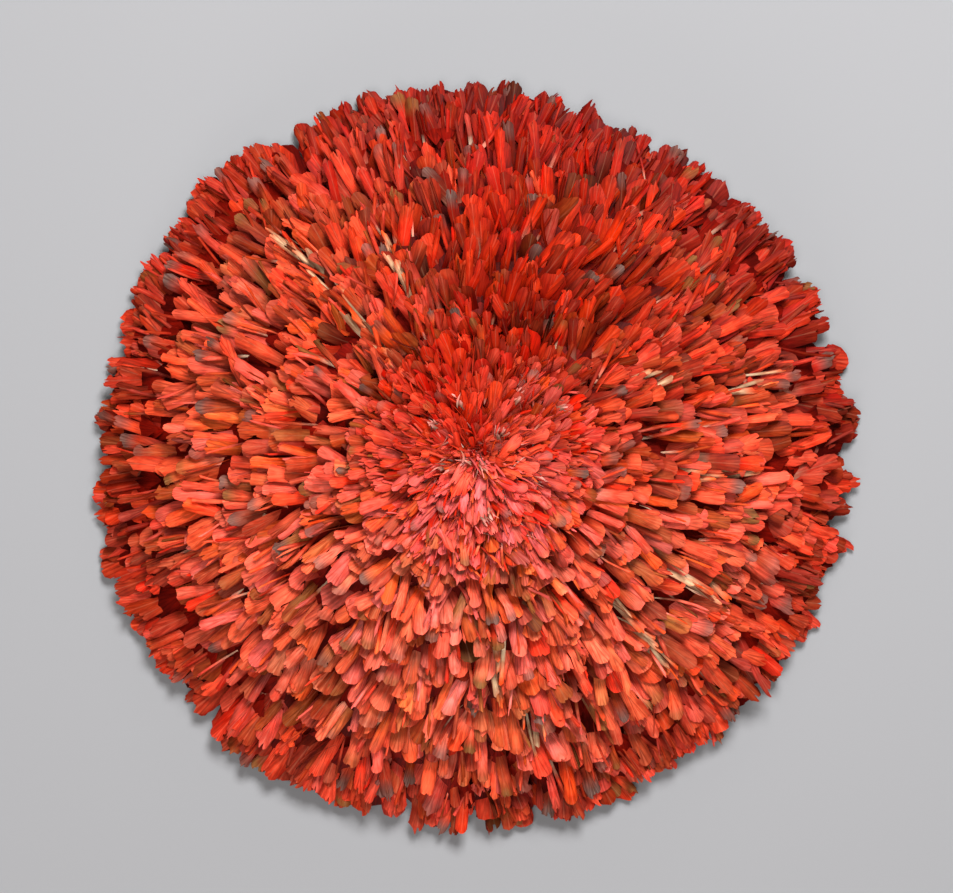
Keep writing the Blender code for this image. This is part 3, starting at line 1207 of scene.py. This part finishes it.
@dataclass(frozen=True)
class Crown:
    """Small feathers on the cap, spread evenly from the middle to a step above the tail feathers."""

    dome: Dome
    tiers: tuple[CrownTier, ...] = (
        CrownTier("crown_ring_1", 0.080, 0.110),
        CrownTier("crown_ring_2", 0.053, 0.080),
        CrownTier("crown_ring_3", 0.027, 0.053),
        CrownTier("crown_tuft", 0.0, 0.027),
    )
    spacing: float = 0.0122
    half_width: float = 0.0054
    length: float = 0.056
    deep_drop: Span = (0.006, 0.011)
    splinter_length: Span = (0.022, 0.042)
    splinter_half_width: Span = (0.0005, 0.0014)
    wisps: tuple[Span, ...] = (
        (0.035, 0.052), (0.079, 0.042), (-0.013, -0.006), (0.056, -0.018), (-0.034, -0.010),
        (0.012, -0.056), (-0.018, 0.052), (0.020, 0.022), (-0.040, 0.028), (0.008, -0.012),
    )  # places where down stands out between the feathers
    wisp_strands: int = 7
    wisp_length: Span = (0.008, 0.014)
    wisp_half_width: Span = (0.0007, 0.0017)

    def tier(self, number: int) -> list[Feather]:
        """The feathers of one tier.

        Args:
            number: Which tier, from 0, outermost first.

        Returns:
            Its feathers.
        """
        tier = self.tiers[number]
        random = np.random.default_rng(SEED + 100 + number)
        golden = math.degrees(math.pi * (3 - math.sqrt(5)))
        spread = self.spacing / math.sqrt(math.pi)
        feathers = []
        for seed in range(int((tier.inner / spread) ** 2), int((tier.outer / spread) ** 2)):
            radius = spread * math.sqrt(seed + 0.5)
            for deep in (False, True):
                turned = seed * golden + random.normal(0, 3) + (30 if deep else 0)
                feathers.append(self._feather(radius, turned, deep, random))
            for _ in range(3 if radius < 0.06 else 2):
                feathers.append(self._splinter(radius, seed * golden + random.normal(0, 12), random))
        for x, y in self.wisps:
            if tier.inner <= math.hypot(x, y) < tier.outer:
                feathers += self._wisp(math.hypot(x, y), math.degrees(math.atan2(y, x)), random)
        return feathers

    def _splinter(self, radius: float, azimuth: float, random: np.random.Generator) -> Feather:
        """A narrow frayed lock among the small feathers.

        Args:
            radius: Distance of its tip from the middle.
            azimuth: Its direction from the middle, in degrees.
            random: Source of the draws.

        Returns:
            The lock.
        """
        tip, way, up = self.dome.place(radius / self.dome.reach, azimuth)
        way, up = tossed(way, up, (self._upright(radius), 0.0, 0.0), (0.12, 0.25, 0.6), random)
        return thin_lock(
            tip + up * random.uniform(-0.002, 0.003),
            way,
            up,
            random.uniform(*self.splinter_length),
            random.uniform(*self.splinter_half_width),
            random,
            hue=self._hue(radius, azimuth, random),
            bend=random.uniform(0.2, 0.9),
            sway=random.normal(0, 0.15),
            tip_hue=self._hue(radius, azimuth, random),
            # Quill end pale down, or dark red painted shade under the other feathers
            base=DOWN if random.random() < 0.4 else PAINTED_SHADE_RED,
            base_share=random.uniform(0.3, 0.6),
        )

    def _upright(self, radius: float) -> float:
        """How much further a feather stands up towards the middle, in radians, so that none lies across."""
        return 0.75 * math.exp(-((radius / 0.020) ** 2))

    def _hue(self, radius: float, azimuth: float, random: np.random.Generator) -> Array:
        """Draws a body colour, pinker than the tail feathers', painted lighter at the middle and with painted
        shade to one side.

        Args:
            radius: Distance of the tip from the middle.
            azimuth: Its direction from the middle, in degrees.
            random: Source of the draws.

        Returns:
            Linear red, green and blue.
        """
        hues = [Hue.CORAL, Hue.PINK, Hue.SCARLET, Hue.RUST, Hue.ORANGE]
        hue = random.choice(hues, p=(0.30, 0.36, 0.18, 0.08, 0.08))
        # Painted light: a little brighter at the middle, darker away from it
        tone = random.uniform(0.72, 1.2) * (1.06 - 0.14 * float(smoothstep(0.03, 0.075, radius)))
        # Painted light and shade round the headdress, on most feathers
        shade = CROWN_PAINTED_SHADE.at(azimuth if random.random() < 0.95 else 0.0)
        return np.clip(linear(hue.value) * tone * shade, 0, BRIGHTEST)

    def _wisp(self, radius: float, azimuth: float, random: np.random.Generator) -> list[Feather]:
        """A few short locks of pale down that show between the feathers.

        Args:
            radius: Distance of their place from the middle.
            azimuth: Its direction from the middle, in degrees.
            random: Source of the draws.

        Returns:
            The locks.
        """
        place, way, up = self.dome.place(radius / self.dome.reach, azimuth)
        strands = []
        for _ in range(self.wisp_strands):
            to, over = tossed(way, up, (0.0, 0.0, 0.0), (0.10, 0.35, 0.6), random)
            strand = thin_lock(
                place + up * random.uniform(-0.001, 0.003) + random.normal(0, 0.0032, 3),
                to,
                over,
                random.uniform(*self.wisp_length),
                random.uniform(*self.wisp_half_width),
                random,
                hue=DOWN * random.uniform(0.45, 0.8) * np.array((1.0, 0.78, 0.66)),
                bend=random.uniform(0.4, 1.0),
                sway=random.normal(0, 0.2),
                tip_hue=0.5 * (DOWN + linear(Hue.PINK.value)),
                # Dark red painted shade at the root
                base=PAINTED_SHADE_RED,
                base_share=0.25,
            )
            strands.append(strand)
        return strands

    def _feather(self, radius: float, azimuth: float, deep: bool, random: np.random.Generator) -> Feather:
        """One small feather, or a lower one painted darker as shade, that closes the gaps from below.

        Args:
            radius: Distance of its tip from the middle.
            azimuth: Its direction from the middle, in degrees.
            deep: Whether it is the one below, painted darker as shade.
            random: Source of the draws.

        Returns:
            The feather.
        """
        tip, way, up = self.dome.place(radius / self.dome.reach, azimuth)
        tip = tip + up * random.normal(0.0, 0.0022) + way * random.normal(0.0, 0.004)
        small = 1 - 0.5 * math.exp(-((radius / 0.032) ** 2))
        if deep:
            tip = tip - np.array((0, 0, random.uniform(*self.deep_drop)))
        way, up = tossed(way, up, (self._upright(radius) - 0.04, 0.0, 0.0), (0.13, 0.20, 0.40), random)
        hue = self._hue(radius, azimuth, random)
        wider = 1.3 if deep else small * (0.92 + 1.2 * radius)
        return Feather(
            tip=tip,
            way=way,
            up=up,
            length=self.length * random.uniform(0.9, 1.05),
            half_width=self.half_width * random.uniform(0.7, 1.25) * wider,
            # Painted shade: lower feathers darker and redder
            hue=hue * (np.array((0.55, 0.30, 0.26)) if deep else 1.0),
            tip_hue=0.4 * hue + 0.6 * self._hue(radius, azimuth, random),
            turn_at=random.uniform(0.5, 0.95),
            shape=TipShape.ROUNDED if random.random() < 0.4 else TipShape.FRAYED,
            grid=SMALL_VANE if deep else FINE_VANE,
            bend=random.uniform(0.3, 0.8),
            sway=random.normal(0, 0.10),
            arch=random.uniform(0.04, 0.25),
            twist=random.normal(0, 0.3),
            dusk=random.uniform(0.2, 0.8) if random.random() < 0.12 and not deep else 0.0,
            # Quill end pale down on a few, else dark red painted shade
            base=DOWN if random.random() < 0.15 and not deep else PAINTED_SHADE_RED,
            base_share=random.uniform(0.3, 0.5),
            chance=random.random(),
        )


# The fibre under the feathers


@dataclass(frozen=True)
class WoundShell:
    """A shell of revolution that is one rope, wound down it in a spiral."""

    name: str
    step: float  # from one turn to the next
    half_wide: float
    half_thick: float
    stitch: float  # length of a stitch or knot along the rope
    swell: float  # how much a stitch bulges
    cuts: int  # sections to a stitch
    sides: int = 6

    def build(self, profile: Array, material: bpy.types.Material) -> bpy.types.Object:
        """Winds the rope along a profile.

        Args:
            profile: Radius and height of the middle of the wall, from where the rope starts.
            material: The finish.

        Returns:
            The object, linked to the scene.
        """
        edges = np.diff(profile, axis=0)
        reached = np.concatenate([[0], np.cumsum(np.hypot(edges[:, 0], edges[:, 1]))])
        slopes = np.gradient(profile, reached, axis=0)
        advance = self.stitch / self.cuts
        places, angles = [0.0], [0.0]
        while places[-1] < reached[-1]:
            radius = float(np.interp(places[-1], reached, profile[:, 0]))
            turn = advance / max(radius, 0.002)
            angles.append(angles[-1] + turn)
            places.append(places[-1] + self.step * turn / (2 * math.pi))
        places, angles = np.array(places), np.array(angles)
        radius, height = (np.interp(places, reached, profile[:, i]) for i in (0, 1))
        slope = np.stack([np.interp(places, reached, slopes[:, i]) for i in (0, 1)], axis=1)
        slope /= np.linalg.norm(slope, axis=1, keepdims=True)
        number = np.arange(len(places))
        phase = (number % self.cuts) / self.cuts
        bulge = 1 - self.swell + 2 * self.swell * np.sin(math.pi * phase)
        around = 2 * math.pi * np.arange(self.sides) / self.sides
        wide = self.half_wide * np.cos(around)[None, :] * bulge[:, None]
        thick = self.half_thick * np.sin(around)[None, :] * bulge[:, None]
        flat_radius = radius[:, None] + wide * slope[:, :1] - thick * slope[:, 1:]
        flat_height = height[:, None] + wide * slope[:, 1:] + thick * slope[:, :1]
        across = [flat_radius * turned(angles)[:, None] for turned in (np.cos, np.sin)]
        points = np.stack([*across, flat_height], axis=-1)
        return self._mesh(points, number * advance / MM, material)

    def _mesh(self, points: Array, along_mm: Array, material: bpy.types.Material) -> bpy.types.Object:
        """Makes the tube's mesh with its map and the rope's own coordinates.

        Args:
            points: Points of each section of the rope.
            along_mm: Length of rope up to each section.
            material: The finish.

        Returns:
            The object, linked to the scene.
        """
        count, sides = len(points), self.sides
        faces = [
            (s * sides + p, (s + 1) * sides + p, (s + 1) * sides + q, s * sides + q)
            for s in range(count - 1)
            for p, q in zip(range(sides), (*range(1, sides), 0))
        ]
        faces.append(tuple(range(sides)))
        faces.append(tuple((count - 1) * sides + p for p in reversed(range(sides))))
        rows = math.ceil(math.sqrt(count / 30))
        a_row = math.ceil(count / rows)
        spots = []
        for s in range(count - 1):
            left, row = (s % a_row) / a_row, s // a_row
            right = left + 0.98 / a_row
            for p in range(sides):
                low, high = (row + 0.9 * p / sides) / rows, (row + 0.9 * (p + 1) / sides) / rows
                spots += [(left, low), (right, low), (right, high), (left, high)]
        spots += [(0.0, 0.0)] * (2 * sides)
        mesh = bpy.data.meshes.new(self.name)
        mesh.from_pydata(points.reshape(-1, 3).tolist(), [], faces)
        values = {
            "rope_mm": np.repeat(along_mm, sides),
            "rope_turn": np.tile(np.abs(np.arange(sides) - sides / 2) * 0.35, count),
        }
        return dress(mesh, np.array(spots), values, material)


@dataclass(frozen=True)
class Foundation:
    """The knotted cap that the head goes into, and the coiled brim round it."""

    form: Form
    cap: WoundShell = WoundShell("knotted_cap", 0.0052, 0.0030, 0.0014, 0.0060, 0.16, 4)
    brim: WoundShell = WoundShell("coiled_brim", 0.0066, 0.0037, 0.0015, 0.0072, 0.07, 2)
    cap_finish: FibreFinish = FibreFinish("knotted_palm_fibre", "#A98453", "#3E2A16")
    brim_finish: FibreFinish = FibreFinish("coiled_palm_fibre", "#9C7646", "#38240F")
    cap_wall: float = 0.0025
    cap_lift: float = 0.006

    def build(self) -> list[tuple[bpy.types.Object, str, str]]:
        """Winds both shells.

        Returns:
            Each piece with the node that it replaces and its slot.
        """
        return [
            (self.cap.build(self._cap_profile(), self.cap_finish.make()), "cap", "knotted_fibre"),
            (self.brim.build(self._brim_profile(), self.brim_finish.make()), "brim", "coiled_fibre"),
        ]

    def _cap_profile(self) -> Array:
        """Draws the middle of the cap's wall.

        Returns:
            Radius and height, from the top down its straight side.
        """
        form, half = self.form, self.cap_wall / 2
        angle = np.linspace(0.02, math.pi / 2, 60)
        power = 2 / form.cap_squareness
        radius = (form.cap_radius - half) * np.sin(angle) ** power
        height = form.cap_top - form.cap_rise + (form.cap_rise - half) * np.cos(angle) ** power
        height[-1] = form.cap_top - form.cap_rise
        foot = np.array([[form.cap_radius - half, self.cap_lift + self.cap.half_wide]])
        return np.concatenate([np.stack([radius, height], axis=1), foot])

    def _brim_profile(self) -> Array:
        """Draws the middle of the brim's wall.

        Returns:
            Radius and height, from beside the cap out to its flat foot.
        """
        form = self.form
        radius = np.linspace(form.brim_start + 0.001, form.brim_radius - self.brim.half_wide, 80)
        lift = form.brim_wall / 2 + 0.00025
        return np.stack([radius, form.brim_height(radius) - form.brim_wall + lift], axis=1)


# Studio


@dataclass(frozen=True)
class SoftLight:
    """A square lamp with a soft edge, aimed at the headdress."""

    name: str
    place: Triple
    size: float
    watts: float
    colour: str

    def make(self, aim: Triple) -> None:
        """Adds the lamp.

        Args:
            aim: What it shines at.
        """
        data = bpy.data.lights.new(self.name, "AREA")
        data.size, data.energy = self.size, self.watts
        data.color = linear(self.colour)
        light = add_object(self.name, data)
        light.location = self.place
        light.rotation_euler = (Vector(aim) - Vector(self.place)).to_track_quat("-Z", "Y").to_euler()


@dataclass(frozen=True)
class Studio:
    """Pale floor, soft lights and the camera straight above the crown."""

    frame_px: tuple[int, int] = (953, 893)
    centre_px: Span = (476.5, 456.0)
    reach_px: float = 381.5
    distance: float = 3.6
    sensor_mm: float = 36.0
    aim: Triple = (0.0, 0.0, 0.08)
    lights: tuple[SoftLight, ...] = (
        SoftLight("key", (0.50, 1.85, 2.85), 1.2, 320.0, "#FFFCF8"),
        SoftLight("fill", (-0.3, -0.6, 3.3), 1.6, 80.0, "#FFF8F2"),
        SoftLight("front", (-1.0, -3.9, 1.5), 1.8, 120.0, "#FFF8F2"),
        SoftLight("back", (0.8, 3.9, 1.5), 1.8, 45.0, "#FFF8F2"),
    )
    surround: Triple = (1.0, 0.88, 0.80)  # linear
    surround_strength: float = 0.15
    floor_half: float = 6.0
    floor_drop: float = 0.0005  # keeps the floor clear of the brim's foot
    floor_colour: str = "#6E7074"

    def make(self, dome: Dome) -> None:
        """Adds the floor, the lights, the world and the camera.

        Args:
            dome: The dome that the camera frames.
        """
        self._floor()
        self._world()
        for light in self.lights:
            light.make(self.aim)
        self._camera(dome)

    def _camera(self, dome: Dome) -> None:
        """Frames the outline as the photograph does: the object's middle lies a little below the picture's.

        Args:
            dome: The dome, whose edge has the outline.
        """
        metres_a_px = dome.reach / self.reach_px
        data = bpy.data.cameras.new("camera")
        data.sensor_fit = "HORIZONTAL"
        data.sensor_width = self.sensor_mm
        data.lens = self.sensor_mm * (self.distance - dome.edge_height) / (self.frame_px[0] * metres_a_px)
        camera = add_object("camera", data)
        down = (self.centre_px[1] - self.frame_px[1] / 2) * metres_a_px
        camera.location = (0.0, down, self.distance)
        bpy.context.scene.camera = camera

    def _floor(self) -> None:
        """Adds a plain pale floor of matt paint."""
        half, low = self.floor_half, -self.floor_drop
        square = [(-half, -half, low), (half, -half, low), (half, half, low), (-half, half, low)]
        mesh = bpy.data.meshes.new("floor")
        mesh.from_pydata(square, [], [(0, 1, 2, 3)])
        paint = bpy.data.materials.new("matt_paint")
        paint.use_nodes = True
        shader = paint.node_tree.nodes["Principled BSDF"]
        shader.inputs["Base Color"].default_value = (*linear(self.floor_colour), 1.0)
        shader.inputs["Roughness"].default_value = 0.9
        mesh.materials.append(paint)
        floor = add_object("floor", mesh)
        floor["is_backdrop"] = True

    def _world(self) -> None:
        """Adds an even, dim surround."""
        world = bpy.data.worlds.new("surround")
        world.use_nodes = True
        background = world.node_tree.nodes["Background"]
        background.inputs["Color"].default_value = (*self.surround, 1.0)
        background.inputs["Strength"].default_value = self.surround_strength
        bpy.context.scene.world = world
        bpy.context.scene.view_settings.view_transform = "Standard"


def corners() -> list[list[float]]:
    """The bounds of everything that shows, as plain lists."""
    return [[float(x) for x in corner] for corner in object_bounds()]


def settle(piece: bpy.types.Object, node: str, slot: str) -> int:
    """Puts a piece in a node's place on the body, and reports it.

    Args:
        piece: The piece.
        node: The node that it replaces.
        slot: The piece's material slot; not used.

    Returns:
        Its number of triangles.
    """
    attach(piece, BODY)
    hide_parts(node)
    triangles = sum(len(face.vertices) - 2 for face in piece.data.polygons)
    LOG.info("%s in place of %s: %d triangles", piece.name, node, triangles)
    return triangles


def main() -> None:
    """Builds the classes in order and reports each piece."""
    logging.basicConfig(level=logging.INFO, format="%(name)s: %(message)s")
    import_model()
    dome = Dome(reach=0.350, crown_height=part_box("crown_tuft")[1].z)
    form = Form.read()
    Studio().make(dome)
    total = sum(settle(*shell) for shell in Foundation(form).build())
    tail = FeatherFinish("tail_feather_vane").make()
    plumage = Plumage(dome)
    for number in range(plumage.spokes):
        spoke = f"{number + 1:02d}"
        piece = feather_piece(f"plumes_{spoke}", plumage.spoke(number), form, tail, SEED + number)
        total += settle(piece, f"feather_spoke_{spoke}", "tail_feathers")
    small = FeatherFinish("crown_feather_vane", barb_mm=1.3, glow=0.4).make()
    crown = Crown(dome)
    for number, tier in enumerate(crown.tiers):
        piece = feather_piece(f"{tier.name}_plumes", crown.tier(number), form, small, SEED + 200 + number)
        total += settle(piece, tier.name, "crown_feathers")
    LOG.info("%d triangles in all", total)


if __name__ == "__main__":
    main()
